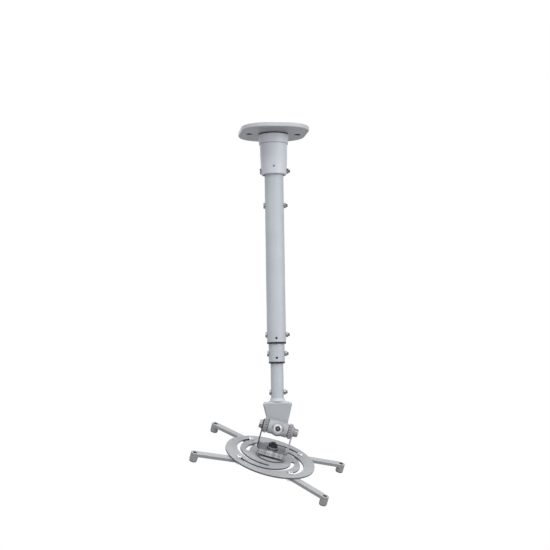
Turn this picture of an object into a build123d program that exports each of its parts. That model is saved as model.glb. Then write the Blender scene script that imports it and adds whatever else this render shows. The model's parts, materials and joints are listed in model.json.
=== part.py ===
from build123d import *
from math import cos, radians, sin
import os

# Projector ceiling mount: ceiling plate, collar, three telescoping tubes, two-axis
# knuckle, swivelling spider disc with four curved slots, four adjustable arms.
# Millimetres. X to the right, Y away from the viewer, Z up.
# The origin is the centre of the plate's ceiling face.

# Fits, all radial.
RUN_FIT = 0.05
PUSH_FIT = 0.1
TIP_GAP = 0.3
HOLE_GAP = 0.3

# Ceiling plate: a pressed dish, open towards the ceiling.
PLATE_WIDTH = 136.0
PLATE_DEPTH = 154.0
PLATE_HEIGHT = 8.6
PLATE_WALL = 2.5
PLATE_CORNER = 52.0
PLATE_YAW = 8.0
CEILING_PCD = 98.0
CEILING_HOLE_R = 3.5
CEILING_SINK_R = 7.0
CABLE_HOLE_R = 9.0

# Collar under the plate.
COLLAR_NECK_R = 25.0
COLLAR_NECK_H = 2.4
BAND_TOP_R = 30.5
BAND_LOW_R = 29.0
BAND_H = 18.5
CONE_TOP_R = 27.75
CONE_LOW_R = 25.7
CONE_H = 62.5
COLLAR_CROWN = 11.4
COLLAR_MOUTH_R = 22.0
COLLAR_MOUTH_H = 4.0
COLLAR_SCREW_PCD = 32.0
COLLAR_SCREW_R = 2.5

# Tubes, outer to inner.
OUTER_R = 19.0
MIDDLE_R = 16.0
INNER_R = 12.7
TUBE_WALL = 1.5
OUTER_LENGTH = 408.0
MIDDLE_LENGTH = 279.0
INNER_LENGTH = 311.0
MIDDLE_SHOWS = 39.0
INNER_SHOWS = 71.0
BUSH_FLANGE = 2.4
BUSH_SLEEVE = 10.0

# Cross bolts of the pole, and the small round holes on its front.
BOLT_R = 3.0
BOLT_HEAD_R = 5.5
BOLT_HEAD_H = 3.2
BOLT_NUT_R = 5.0
BOLT_NUT_H = 4.2
BOLT_TIP = 3.4
COLLAR_BOLT_UP = 8.0
COLLAR_FLAT = 0.8
STOP_BOLT_UP = 34.4
OUTER_CLAMP_UP = 15.6
MIDDLE_CLAMP_UP = 17.0
NECK_BOLT_UP = 12.0
COLLAR_PEEP_UP = 15.0
TUBE_PEEP_UP = 8.6
PEEP_R = 2.3

# Knuckle: turned neck, bent bracket, cross barrel.
NECK_TOP_R = 14.3
NECK_LOW_R = 15.2
NECK_HEIGHT = 6.4
SPIGOT_LENGTH = 38.0
SPIGOT_BORE_R = 6.0
KNUCKLE_HEIGHT = 51.0
KNUCKLE_HALF = 28.5
KNUCKLE_CORNER = 6.0
KNUCKLE_BEND = 4.5
TONGUE_R = 17.0
KNUCKLE_SHEET = 3.0
KNUCKLE_FRONT = 15.0
KNUCKLE_BACK = 16.0
FLANGE_BOTTOM = 33.0
FLANGE_DEEP = 7.0
BARREL_R = 14.0
BARREL_LENGTH = 57.0
BARREL_RING = 7.5
BARREL_GROOVE = 1.6
BARREL_GROOVE_DEEP = 1.8
PIVOT_R = 4.0
PIVOT_BOSS_R = 12.0
PIVOT_BOSS = 13.0
PIVOT_SEAT = 11.0
PIVOT_SEAT_R = 8.9
PIVOT_SPACER = 4.5
PIVOT_HEAD_R = 6.5
PIVOT_HEAD_H = 5.0
PIVOT_WASHER_R = 8.5
WASHER_H = 1.5
PIVOT_NUT_R = 6.5
PIVOT_NUT_H = 6.5
PITCH_THREAD = 14.0
PITCH_WASHER_R = 9.0
PITCH_LEFT_R = 8.0
PITCH_LEFT_H = 5.0
PITCH_RIGHT_R = 8.0
PITCH_RIGHT_H = 8.0

# Posture at rest: roll about the fore-and-aft pivot, then pitch about the barrel.
ROLL = 16.0
PITCH = 18.5

# Bracket that hangs from the barrel.
BRACKET_SHEET = 2.5
BRACKET_DROP = 43.0
BRACKET_DEPTH = 40.0
BRACKET_BEND = 6.0
EAR_TOP_R = 11.0
EAR_FOOT = 10.0
LIP_DROP = 12.0
LIP_BEND = 5.0
LIP_SIDE_GAP = 6.0
SWIVEL_R = 5.0
SWIVEL_HEAD_R = 8.5
SWIVEL_HEAD_H = 5.0
SWIVEL_WASHER_R = 11.0
SWIVEL_NUT_R = 8.0
SWIVEL_NUT_H = 7.5
SWIVEL_TIP = 3.0

# Hub and spider disc.
HUB_R = 14.5
HUB_H = 12.0
HUB_PLATE_R = 30.0
HUB_PLATE_H = 3.0
DISC_R = 90.0
DISC_H = 3.0
SLOT_WIDTH = 7.0
SLOT_START = 38.0
SLOT_RADII = (73.0, 59.0, 46.0)
SLOT_TURNS = (0.0, 70.0, 140.0)

# Arms, one per slot: heading of each in the disc's plane, degrees from its X.
ARM_HEADINGS = (14.3, 153.4, 197.8, 324.6)
ARM_WIDTH = 15.5
ARM_DEEP = 6.0
ARM_WALL = 2.0
ARM_REACH = 88.0
ARM_TAIL = 11.0
ARM_BOLT_R = 3.0
ARM_HEAD_R = 5.4
ARM_HEAD_H = 3.2
ARM_NUT_R = 5.0
ARM_NUT_H = 4.5
FOOT_H = 16.0
FOOT_BORE_R = 2.6
FOOT_BUSH_R = 4.4
FOOT_PAD_R = 7.0
FOOT_PAD_H = 2.0

# Heights along the pole.
plate_low = -PLATE_HEIGHT
band_top = plate_low - COLLAR_NECK_H
band_low = band_top - BAND_H
collar_low = band_low - CONE_H
outer_top = plate_low - COLLAR_CROWN
outer_low = outer_top - OUTER_LENGTH
middle_low = outer_low - MIDDLE_SHOWS
middle_top = middle_low + MIDDLE_LENGTH
inner_low = middle_low - INNER_SHOWS
inner_top = inner_low + INNER_LENGTH
knuckle_top = inner_low - NECK_HEIGHT
pivot_z = knuckle_top - KNUCKLE_HEIGHT
collar_bolt_z = collar_low + COLLAR_BOLT_UP
stop_bolt_z = middle_top + STOP_BOLT_UP
outer_clamp_z = outer_low + OUTER_CLAMP_UP
middle_clamp_z = middle_low + MIDDLE_CLAMP_UP
neck_bolt_z = inner_low + NECK_BOLT_UP
collar_grip_r = CONE_LOW_R - COLLAR_FLAT

# Planes of the moving parts at rest.
barrel_dir = Vector(cos(radians(ROLL)), 0, -sin(radians(ROLL)))
rolled_up = Vector(sin(radians(ROLL)), 0, cos(radians(ROLL)))
pivot_y = -(KNUCKLE_FRONT + PIVOT_SPACER + PIVOT_SEAT)
pivot = Vector(0, pivot_y, pivot_z)
barrel_plane = Plane(origin=pivot, x_dir=barrel_dir, z_dir=rolled_up)
disc_up = rolled_up * cos(radians(PITCH)) - Vector(0, sin(radians(PITCH)), 0)
bracket_plane = Plane(origin=pivot, x_dir=barrel_dir, z_dir=disc_up)
bracket_web_low = -BRACKET_DROP - BRACKET_SHEET
hub_low = bracket_web_low - HUB_H
disc_top = hub_low - HUB_PLATE_H
disc_low = disc_top - DISC_H


def shifted(plane, x=0.0, y=0.0, z=0.0):
    """The same axes with the origin moved along them."""
    spot = plane.from_local_coords(Vector(x, y, z))
    return Plane(origin=spot, x_dir=plane.x_dir, z_dir=plane.z_dir)


def facing(plane, sign, x=0.0, y=0.0, z=0.0):
    """A plane square to the given plane's X, looking along it or against it."""
    spot = plane.from_local_coords(Vector(x, y, z))
    return Plane(origin=spot, x_dir=plane.y_dir, z_dir=plane.x_dir * sign)


def fronted(plane, y=0.0):
    """A plane square to the given plane's Y; its normal points to the viewer."""
    spot = plane.from_local_coords(Vector(0, y, 0))
    return Plane(origin=spot, x_dir=plane.x_dir, z_dir=plane.y_dir * -1)


def screw(seat, shank_r, reach, head_r, head_h, sides=0, socket_r=0.0):
    """A screw whose head stands on the seat and whose shank runs along its normal."""
    with BuildPart() as made:
        with BuildSketch(seat):
            if sides:
                RegularPolygon(head_r, sides, major_radius=False)
            else:
                Circle(head_r)
        extrude(amount=-head_h)
        if not sides:
            rim = made.faces().sort_by(Axis(seat.origin, seat.z_dir))[0]
            fillet(rim.edges(), head_h * 0.4)
        with BuildSketch(seat):
            Circle(shank_r)
        extrude(amount=reach)
        tip = made.faces().sort_by(Axis(seat.origin, seat.z_dir))[-1]
        chamfer(tip.edges(), shank_r * 0.2)
        if socket_r:
            with BuildSketch(shifted(seat, z=-head_h)):
                RegularPolygon(socket_r, 6, major_radius=False)
            extrude(amount=head_h * 0.6, mode=Mode.SUBTRACT)
    return made.part


def stud(seat, shank_r, reach, back):
    """A headless screw from a little behind the seat to its reach."""
    with BuildPart() as made:
        with BuildSketch(shifted(seat, z=-back)):
            Circle(shank_r)
        extrude(amount=back + reach)
        for end in (0, -1):
            face = made.faces().sort_by(Axis(seat.origin, seat.z_dir))[end]
            chamfer(face.edges(), shank_r * 0.2)
    return made.part


def nut(seat, bore_r, half_flats, height):
    """A hexagon nut standing on the seat."""
    with BuildPart() as made:
        with BuildSketch(seat):
            RegularPolygon(half_flats, 6, major_radius=False)
            Circle(bore_r, mode=Mode.SUBTRACT)
        extrude(amount=height)
        with BuildSketch(seat):
            Circle(half_flats * 1.11)
        extrude(amount=height, mode=Mode.INTERSECT)
    return made.part


def ring(seat, outer_r, inner_r, height):
    """A plain ring standing on the seat."""
    with BuildPart() as made:
        with BuildSketch(seat):
            Circle(outer_r)
            Circle(inner_r, mode=Mode.SUBTRACT)
        extrude(amount=height)
    return made.part


def tube(top, low, radius, cross_holes, front_holes):
    """A pole tube with bolt holes through both walls and peep holes in the front."""
    with BuildPart() as made:
        with BuildSketch(Plane.XY.offset(low)):
            Circle(radius)
            Circle(radius - TUBE_WALL, mode=Mode.SUBTRACT)
        extrude(amount=top - low)
        if cross_holes:
            with BuildSketch(Plane.YZ):
                with Locations(*[(0, z) for z in cross_holes]):
                    Circle(BOLT_R + HOLE_GAP)
            extrude(amount=radius * 2, both=True, mode=Mode.SUBTRACT)
        if front_holes:
            with BuildSketch(Plane.XZ):
                with Locations(*[(0, z) for z in front_holes]):
                    Circle(PEEP_R)
            extrude(amount=radius * 2, mode=Mode.SUBTRACT)
    return made.part


def end_bush(end, way, sleeve_r, run_r, flange_r):
    """A plastic bush in or on a tube's end: a sleeve and a flange over the edge."""
    with BuildPart() as made:
        with BuildSketch(Plane.XY.offset(end)):
            Circle(sleeve_r[1])
            Circle(sleeve_r[0], mode=Mode.SUBTRACT)
        extrude(amount=-way * BUSH_SLEEVE)
        with BuildSketch(Plane.XY.offset(end)):
            Circle(flange_r)
            Circle(run_r, mode=Mode.SUBTRACT)
        extrude(amount=way * BUSH_FLANGE)
    return made.part


def right_seat(radius, z):
    """A seat on the pole's right side, looking outward along +X."""
    return Plane(origin=(radius, 0, z), x_dir=(0, 1, 0), z_dir=(1, 0, 0))


def left_seat(radius, z):
    """A seat on the pole's left side whose normal runs through the pole."""
    return Plane(origin=(-radius, 0, z), x_dir=(0, 1, 0), z_dir=(1, 0, 0))


def through_bolt(radius, z):
    """A bolt right through the pole: head on the left, end beyond the right nut."""
    reach = radius * 2 + BOLT_NUT_H + BOLT_TIP
    return screw(left_seat(radius, z), BOLT_R, reach, BOLT_HEAD_R, BOLT_HEAD_H, sides=6)


def through_nut(radius, z):
    """The nut of a through bolt."""
    return nut(right_seat(radius, z), BOLT_R + PUSH_FIT, BOLT_NUT_R, BOLT_NUT_H)


def clamp_screws(radius, slide_r, z):
    """Two clamp screws that stop just short of the sliding tube."""
    depth = radius - slide_r - TIP_GAP
    left = screw(left_seat(radius, z), BOLT_R, depth, BOLT_HEAD_R, BOLT_HEAD_H, sides=6)
    right = stud(right_seat(radius, z), BOLT_R, BOLT_NUT_H + BOLT_TIP, depth)
    return Compound(children=[left, right])


# Ceiling plate
plate_plane = Plane(origin=(0, 0, 0), x_dir=Vector(1, 0, 0).rotate(Axis.Z, PLATE_YAW), z_dir=(0, 0, 1))
ceiling_spots = [(-CEILING_PCD / 2, 0), (CEILING_PCD / 2, 0)]
floor_depth = PLATE_HEIGHT - PLATE_WALL
with BuildPart() as ceiling_plate:
    with BuildSketch(plate_plane):
        RectangleRounded(PLATE_WIDTH, PLATE_DEPTH, PLATE_CORNER)
    extrude(amount=-PLATE_HEIGHT)
    fillet(ceiling_plate.faces().sort_by(Axis.Z)[0].edges(), PLATE_WALL)
    with BuildSketch(plate_plane):
        RectangleRounded(
            PLATE_WIDTH - 2 * PLATE_WALL,
            PLATE_DEPTH - 2 * PLATE_WALL,
            PLATE_CORNER - PLATE_WALL,
        )
    extrude(amount=-floor_depth, mode=Mode.SUBTRACT)
    with BuildSketch(plate_plane):
        with Locations(*ceiling_spots):
            Circle(CEILING_SINK_R + PLATE_WALL)
    extrude(amount=-PLATE_HEIGHT)
    with BuildSketch(plate_plane):
        with Locations(*ceiling_spots):
            Circle(CEILING_HOLE_R)
        Circle(CABLE_HOLE_R)
        with PolarLocations(COLLAR_SCREW_PCD / 2, 4, start_angle=45):
            Circle(COLLAR_SCREW_R + PUSH_FIT)
    extrude(amount=-PLATE_HEIGHT, mode=Mode.SUBTRACT)
    for spot in ceiling_spots:
        mouth = plate_plane.from_local_coords(Vector(spot[0], spot[1], plate_low))
        with Locations(Plane(origin=mouth, x_dir=(1, 0, 0), z_dir=(0, 0, -1))):
            CounterSinkHole(CEILING_HOLE_R, CEILING_SINK_R, PLATE_HEIGHT, 90)

# Collar, turned, with a crown that the tube stops against
with BuildPart() as collar:
    with BuildSketch(Plane.XZ):
        with BuildLine():
            Polyline(
                (CABLE_HOLE_R, plate_low),
                (COLLAR_NECK_R, plate_low),
                (COLLAR_NECK_R, band_top),
                (BAND_TOP_R, band_top),
                (BAND_LOW_R, band_low),
                (CONE_TOP_R, band_low),
                (CONE_LOW_R, collar_low),
                (COLLAR_MOUTH_R, collar_low),
                (COLLAR_MOUTH_R, collar_low + COLLAR_MOUTH_H),
                (OUTER_R + PUSH_FIT, collar_low + COLLAR_MOUTH_H),
                (OUTER_R + PUSH_FIT, outer_top),
                (CABLE_HOLE_R, outer_top),
                close=True,
            )
        make_face()
    revolve(axis=Axis.Z)
    foot_edge = collar.edges().filter_by(GeomType.CIRCLE).group_by(Axis.Z)[0].sort_by(SortBy.RADIUS)[-1]
    fillet(foot_edge, (CONE_LOW_R - COLLAR_MOUTH_R) * 0.7)
    with BuildSketch(Plane.YZ):
        with Locations((0, collar_bolt_z)):
            Circle(BOLT_R + HOLE_GAP)
    extrude(amount=BAND_TOP_R * 2, both=True, mode=Mode.SUBTRACT)
    for side in (-1, 1):
        with BuildSketch(Plane.YZ.offset(side * collar_grip_r)):
            with Locations((0, collar_bolt_z)):
                Circle(BOLT_HEAD_R * 1.2)
        extrude(amount=side * BAND_TOP_R, mode=Mode.SUBTRACT)
    with BuildSketch(Plane.XZ):
        with Locations((0, collar_low + COLLAR_PEEP_UP)):
            Circle(PEEP_R)
    extrude(amount=BAND_TOP_R * 2, mode=Mode.SUBTRACT)
    with BuildSketch(shifted(plate_plane, z=plate_low)):
        with PolarLocations(COLLAR_SCREW_PCD / 2, 4, start_angle=45):
            Circle(COLLAR_SCREW_R + PUSH_FIT)
    extrude(amount=-COLLAR_CROWN, mode=Mode.SUBTRACT)

# Four screws that hold the collar to the plate
with BuildPart() as collar_screws:
    with BuildSketch(shifted(plate_plane, z=-floor_depth)):
        with PolarLocations(COLLAR_SCREW_PCD / 2, 4, start_angle=45):
            Circle(COLLAR_SCREW_R * 1.8)
    extrude(amount=floor_depth * 0.55)
    with BuildSketch(shifted(plate_plane, z=-floor_depth)):
        with PolarLocations(COLLAR_SCREW_PCD / 2, 4, start_angle=45):
            Circle(COLLAR_SCREW_R)
    extrude(amount=-(PLATE_WALL + COLLAR_CROWN * 0.85))

# Tubes and their end bushes
outer_tube = tube(
    outer_top,
    outer_low,
    OUTER_R,
    (collar_bolt_z, stop_bolt_z, outer_clamp_z),
    (collar_low + COLLAR_PEEP_UP, outer_low + TUBE_PEEP_UP),
)
middle_tube = tube(middle_top, middle_low, MIDDLE_R, (middle_clamp_z,), (middle_low + TUBE_PEEP_UP,))
inner_tube = tube(inner_top, inner_low, INNER_R, (neck_bolt_z,), ())
outer_bush = end_bush(
    outer_low,
    -1,
    (MIDDLE_R + RUN_FIT, OUTER_R - TUBE_WALL - PUSH_FIT),
    MIDDLE_R + RUN_FIT,
    OUTER_R,
)
middle_bush = end_bush(
    middle_low,
    -1,
    (INNER_R + RUN_FIT, MIDDLE_R - TUBE_WALL - PUSH_FIT),
    INNER_R + RUN_FIT,
    MIDDLE_R,
)
middle_guide = end_bush(
    middle_top,
    1,
    (MIDDLE_R + PUSH_FIT, OUTER_R - TUBE_WALL - RUN_FIT),
    MIDDLE_R - TUBE_WALL,
    OUTER_R - TUBE_WALL - RUN_FIT,
)
inner_guide = end_bush(
    inner_top,
    1,
    (INNER_R + PUSH_FIT, MIDDLE_R - TUBE_WALL - RUN_FIT),
    INNER_R - TUBE_WALL,
    MIDDLE_R - TUBE_WALL - RUN_FIT,
)

# Cross bolts of the pole
collar_bolt = through_bolt(collar_grip_r, collar_bolt_z)
collar_nut = through_nut(collar_grip_r, collar_bolt_z)
stop_bolt = through_bolt(OUTER_R, stop_bolt_z)
stop_nut = through_nut(OUTER_R, stop_bolt_z)
neck_bolt = through_bolt(INNER_R, neck_bolt_z)
neck_nut = through_nut(INNER_R, neck_bolt_z)
outer_clamps = clamp_screws(OUTER_R, MIDDLE_R, outer_clamp_z)
outer_clamp_nut = through_nut(OUTER_R, outer_clamp_z)
middle_clamps = clamp_screws(MIDDLE_R, INNER_R, middle_clamp_z)
middle_clamp_nut = through_nut(MIDDLE_R, middle_clamp_z)

# Neck with a spigot up inside the inner tube
with BuildPart() as neck_plug:
    with BuildSketch(Plane.XZ):
        with BuildLine():
            Polyline(
                (SPIGOT_BORE_R, knuckle_top),
                (NECK_LOW_R, knuckle_top),
                (NECK_TOP_R, inner_low),
                (INNER_R - TUBE_WALL - PUSH_FIT, inner_low),
                (INNER_R - TUBE_WALL - PUSH_FIT, inner_low + SPIGOT_LENGTH),
                (SPIGOT_BORE_R, inner_low + SPIGOT_LENGTH),
                close=True,
            )
        make_face()
    revolve(axis=Axis.Z)
    with BuildSketch(Plane.YZ):
        with Locations((0, neck_bolt_z)):
            Circle(BOLT_R + HOLE_GAP)
    extrude(amount=INNER_R * 2, both=True, mode=Mode.SUBTRACT)

# Knuckle bracket: a pressed sheet, flat face in front, its edges turned back
corner_spots = [(KNUCKLE_HALF - KNUCKLE_CORNER, knuckle_top - KNUCKLE_CORNER)]
corner_spots.append((-corner_spots[0][0], corner_spots[0][1]))
face_front = Plane.XZ.offset(KNUCKLE_FRONT)
face_back = Plane.XZ.offset(KNUCKLE_FRONT - KNUCKLE_SHEET)
with BuildPart() as knuckle_bracket:
    with BuildSketch(face_front):
        with Locations((0, pivot_z)):
            Circle(TONGUE_R)
        with Locations(*corner_spots):
            Circle(KNUCKLE_CORNER)
        make_hull()
    extrude(amount=-(KNUCKLE_FRONT + KNUCKLE_BACK))
    fillet(knuckle_bracket.faces().sort_by(Axis.Y)[0].edges(), KNUCKLE_BEND)
    with BuildSketch(face_back):
        with Locations((0, pivot_z)):
            Circle(TONGUE_R - KNUCKLE_SHEET)
        with Locations(*corner_spots):
            Circle(KNUCKLE_CORNER - KNUCKLE_SHEET)
        make_hull()
    extrude(amount=-(KNUCKLE_FRONT + KNUCKLE_BACK), mode=Mode.SUBTRACT)
    with BuildSketch(Plane.XZ.offset(KNUCKLE_FRONT - FLANGE_DEEP)):
        with Locations((0, pivot_z + FLANGE_BOTTOM)):
            Rectangle(KNUCKLE_HALF * 3, KNUCKLE_HEIGHT * 2, align=(Align.CENTER, Align.MAX))
    extrude(amount=-(KNUCKLE_FRONT + KNUCKLE_BACK), mode=Mode.SUBTRACT)
    with BuildSketch(face_front):
        with Locations((0, pivot_z)):
            Circle(PIVOT_R + PUSH_FIT)
    extrude(amount=-KNUCKLE_SHEET, mode=Mode.SUBTRACT)
    with BuildSketch(Plane.XY.offset(knuckle_top)):
        Circle(SPIGOT_BORE_R)
    extrude(amount=-KNUCKLE_SHEET, mode=Mode.SUBTRACT)

# Fore-and-aft pivot: screw from the front, spacer behind the barrel, nut behind the face
pivot_plane = Plane(origin=pivot, x_dir=(1, 0, 0), z_dir=(0, 1, 0))
pivot_seat = shifted(pivot_plane, z=-PIVOT_BOSS - WASHER_H)
washer_seat = shifted(pivot_plane, z=-PIVOT_BOSS)
spacer_seat = shifted(pivot_plane, z=PIVOT_SEAT)
back_seat = shifted(pivot_plane, z=PIVOT_SEAT + PIVOT_SPACER + KNUCKLE_SHEET)
pivot_reach = WASHER_H + PIVOT_BOSS + PIVOT_SEAT + PIVOT_SPACER + KNUCKLE_SHEET + PIVOT_NUT_H + 1.5
pivot_screw = screw(pivot_seat, PIVOT_R, pivot_reach, PIVOT_HEAD_R, PIVOT_HEAD_H, socket_r=3.0)
pivot_washer = ring(washer_seat, PIVOT_WASHER_R, PIVOT_R + PUSH_FIT, -WASHER_H)
pivot_spacer = ring(spacer_seat, PIVOT_WASHER_R, PIVOT_R + PUSH_FIT, PIVOT_SPACER)
pivot_nut = nut(back_seat, PIVOT_R + PUSH_FIT, PIVOT_NUT_R, PIVOT_NUT_H)

# Cross barrel: a ring at each end, a round boss in front, a seat behind
barrel_half = BARREL_LENGTH / 2
with BuildPart() as pivot_barrel:
    with BuildSketch(facing(barrel_plane, 1, x=-barrel_half)):
        Circle(BARREL_R)
    extrude(amount=BARREL_LENGTH)
    for side in (-1, 1):
        start = side * (barrel_half - BARREL_RING)
        with BuildSketch(facing(barrel_plane, side, x=start - side * BARREL_GROOVE)):
            Circle(BARREL_R + 1)
            Circle(BARREL_R - BARREL_GROOVE_DEEP, mode=Mode.SUBTRACT)
        extrude(amount=BARREL_GROOVE, mode=Mode.SUBTRACT)
        with BuildSketch(facing(barrel_plane, side, x=side * (barrel_half - PITCH_THREAD))):
            Circle(PIVOT_R + PUSH_FIT)
        extrude(amount=PITCH_THREAD, mode=Mode.SUBTRACT)
    with BuildSketch(pivot_plane):
        Circle(PIVOT_BOSS_R)
    extrude(amount=-PIVOT_BOSS)
    with BuildSketch(washer_seat):
        Circle(PIVOT_BOSS_R)
    extrude(amount=-BARREL_R, mode=Mode.SUBTRACT)
    with BuildSketch(spacer_seat):
        Circle(PIVOT_SEAT_R)
    extrude(amount=BARREL_R, mode=Mode.SUBTRACT)
    with BuildSketch(pivot_plane):
        Circle(PIVOT_R + RUN_FIT)
    extrude(amount=BARREL_R * 2, both=True, mode=Mode.SUBTRACT)

# Pitch bolts, screwed into the barrel's ends outside the ears
ear_face = barrel_half + BRACKET_SHEET
bolt_seat = ear_face + WASHER_H
pitch_reach = PITCH_THREAD + BRACKET_SHEET + WASHER_H - 1.0
left_end = facing(barrel_plane, 1, x=-bolt_seat)
right_end = facing(barrel_plane, -1, x=bolt_seat)
pitch_bolt_left = screw(left_end, PIVOT_R, pitch_reach, PITCH_LEFT_R, PITCH_LEFT_H, sides=6)
pitch_bolt_right = screw(right_end, PIVOT_R, pitch_reach, PITCH_RIGHT_R, PITCH_RIGHT_H, socket_r=3.0)
with BuildPart() as pitch_washers:
    for side in (-1, 1):
        with BuildSketch(facing(barrel_plane, side, x=side * ear_face)):
            Circle(PITCH_WASHER_R)
            Circle(PIVOT_R + PUSH_FIT, mode=Mode.SUBTRACT)
        extrude(amount=WASHER_H)

# Bracket: two ears, a web under the barrel, lips folded down front and back
bracket_width = BARREL_LENGTH + 2 * BRACKET_SHEET
ear_depth = BRACKET_DEPTH - 2 * LIP_BEND
lip_inside = BRACKET_DEPTH - 2 * BRACKET_SHEET
tall = BRACKET_DROP * 2
with BuildPart() as u_bracket:
    with BuildSketch(fronted(bracket_plane, BRACKET_DEPTH / 2)):
        with Locations((0, bracket_web_low + tall / 2)):
            RectangleRounded(bracket_width, tall, BRACKET_BEND)
        with Locations((0, -BRACKET_DROP + tall / 2)):
            RectangleRounded(BARREL_LENGTH, tall, BRACKET_BEND - BRACKET_SHEET, mode=Mode.SUBTRACT)
    extrude(amount=BRACKET_DEPTH)
    with BuildSketch(facing(bracket_plane, 1, x=-bracket_width)):
        Circle(EAR_TOP_R)
        with Locations((0, bracket_web_low)):
            Rectangle(ear_depth, EAR_FOOT, align=(Align.CENTER, Align.MIN))
        make_hull()
    extrude(amount=bracket_width * 2, mode=Mode.INTERSECT)
    with BuildSketch(facing(bracket_plane, 1, x=LIP_SIDE_GAP - bracket_width / 2)):
        with Locations((0, -BRACKET_DROP)):
            RectangleRounded(BRACKET_DEPTH, LIP_DROP * 2, LIP_BEND, align=(Align.CENTER, Align.MAX))
        with Locations((0, bracket_web_low)):
            RectangleRounded(
                lip_inside,
                LIP_DROP * 2,
                LIP_BEND - BRACKET_SHEET,
                align=(Align.CENTER, Align.MAX),
                mode=Mode.SUBTRACT,
            )
        with Locations((0, -BRACKET_DROP - LIP_DROP)):
            Rectangle(BRACKET_DEPTH * 2, LIP_DROP * 2, align=(Align.CENTER, Align.MAX), mode=Mode.SUBTRACT)
    extrude(amount=bracket_width - 2 * LIP_SIDE_GAP)
    with BuildSketch(facing(bracket_plane, 1, x=-bracket_width)):
        Circle(PIVOT_R + RUN_FIT)
    extrude(amount=bracket_width * 2, mode=Mode.SUBTRACT)
    with BuildSketch(bracket_plane):
        Circle(SWIVEL_R + PUSH_FIT)
    extrude(amount=-BRACKET_DROP * 2, mode=Mode.SUBTRACT)

# Swivel: hub under the web, bolt from below, washer and nut on the web
hub_spacer = ring(shifted(bracket_plane, z=hub_low), HUB_R, SWIVEL_R + PUSH_FIT, HUB_H)
swivel_seat = shifted(bracket_plane, z=disc_low)
web_seat = shifted(bracket_plane, z=-BRACKET_DROP)
nut_seat = shifted(bracket_plane, z=-BRACKET_DROP + WASHER_H)
swivel_reach = -BRACKET_DROP + WASHER_H + SWIVEL_NUT_H + SWIVEL_TIP - disc_low
swivel_bolt = screw(swivel_seat, SWIVEL_R, swivel_reach, SWIVEL_HEAD_R, SWIVEL_HEAD_H, socket_r=4.0)
swivel_washer = ring(web_seat, SWIVEL_WASHER_R, SWIVEL_R + PUSH_FIT, WASHER_H)
swivel_nut = nut(nut_seat, SWIVEL_R + PUSH_FIT, SWIVEL_NUT_R, SWIVEL_NUT_H)
hub_plate = ring(shifted(bracket_plane, z=disc_top), HUB_PLATE_R, SWIVEL_R + RUN_FIT, HUB_PLATE_H)

# Spider disc: four curved slots, each spiralling inward
slot_points = [Vector(r, 0).rotate(Axis.Z, SLOT_START + t) for r, t in zip(SLOT_RADII, SLOT_TURNS)]
with BuildPart() as spider_disc:
    with BuildSketch(shifted(bracket_plane, z=disc_low)):
        Circle(DISC_R)
        Circle(SWIVEL_R + RUN_FIT, mode=Mode.SUBTRACT)
        for quarter in range(4):
            path = ThreePointArc(*[p.rotate(Axis.Z, 90 * quarter) for p in slot_points])
            SlotArc(path, SLOT_WIDTH, mode=Mode.SUBTRACT)
    extrude(amount=DISC_H)


def arm_plane(index, height):
    """The plane of one arm: origin on its screw's axis, X along the arm."""
    spot = slot_points[0].rotate(Axis.Z, 90 * index)
    heading = Vector(1, 0).rotate(Axis.Z, ARM_HEADINGS[index])
    origin = bracket_plane.from_local_coords(Vector(spot.X, spot.Y, height))
    along = bracket_plane.x_dir * heading.X + bracket_plane.y_dir * heading.Y
    return Plane(origin=origin, x_dir=along, z_dir=bracket_plane.z_dir)


def arm(index):
    """A channel-section arm with a pad at its screw and a boss at its tip."""
    top = arm_plane(index, disc_low)
    under = shifted(top, z=-ARM_WALL)
    half = ARM_WIDTH / 2
    length = ARM_TAIL + ARM_REACH + half
    middle = length / 2 - ARM_TAIL
    with BuildPart() as made:
        with BuildSketch(top):
            with Locations((middle, 0)):
                SlotOverall(length, ARM_WIDTH)
        extrude(amount=-ARM_DEEP)
        with BuildSketch(under):
            with Locations((middle, 0)):
                SlotOverall(length - 2 * ARM_WALL, ARM_WIDTH - 2 * ARM_WALL)
        extrude(amount=-ARM_DEEP, mode=Mode.SUBTRACT)
        with BuildSketch(under):
            Circle(half)
        extrude(amount=ARM_WALL - ARM_DEEP)
        with BuildSketch(top):
            with Locations((ARM_REACH, 0)):
                Circle(half)
        extrude(amount=-FOOT_H)
        with BuildSketch(top):
            Circle(ARM_BOLT_R + RUN_FIT)
            with Locations((ARM_REACH, 0)):
                Circle(FOOT_BUSH_R + PUSH_FIT)
        extrude(amount=-FOOT_H, mode=Mode.SUBTRACT)
    return made.part


def foot_bush(index):
    """A sleeve through an arm's boss with a pad under it."""
    foot = shifted(arm_plane(index, disc_low), x=ARM_REACH)
    with BuildPart() as made:
        with BuildSketch(foot):
            Circle(FOOT_BUSH_R)
        extrude(amount=-FOOT_H)
        with BuildSketch(shifted(foot, z=-FOOT_H)):
            Circle(FOOT_PAD_R)
        extrude(amount=-FOOT_PAD_H)
        with BuildSketch(foot):
            Circle(FOOT_BORE_R)
        extrude(amount=-(FOOT_H + FOOT_PAD_H), mode=Mode.SUBTRACT)
    return made.part


def turned_over(plane):
    """The same origin with the normal pointing the other way."""
    return Plane(origin=plane.origin, x_dir=plane.x_dir, z_dir=plane.z_dir * -1)


def arm_screw(index):
    """A button-head screw from the disc's top down through its slot and the arm."""
    seat = turned_over(arm_plane(index, disc_top))
    reach = DISC_H + ARM_DEEP + ARM_NUT_H + 0.8
    return screw(seat, ARM_BOLT_R, reach, ARM_HEAD_R, ARM_HEAD_H, socket_r=1.8)


def arm_nut(index):
    """The nut under an arm."""
    seat = turned_over(arm_plane(index, disc_low - ARM_DEEP))
    return nut(seat, ARM_BOLT_R + PUSH_FIT, ARM_NUT_R, ARM_NUT_H)


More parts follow.
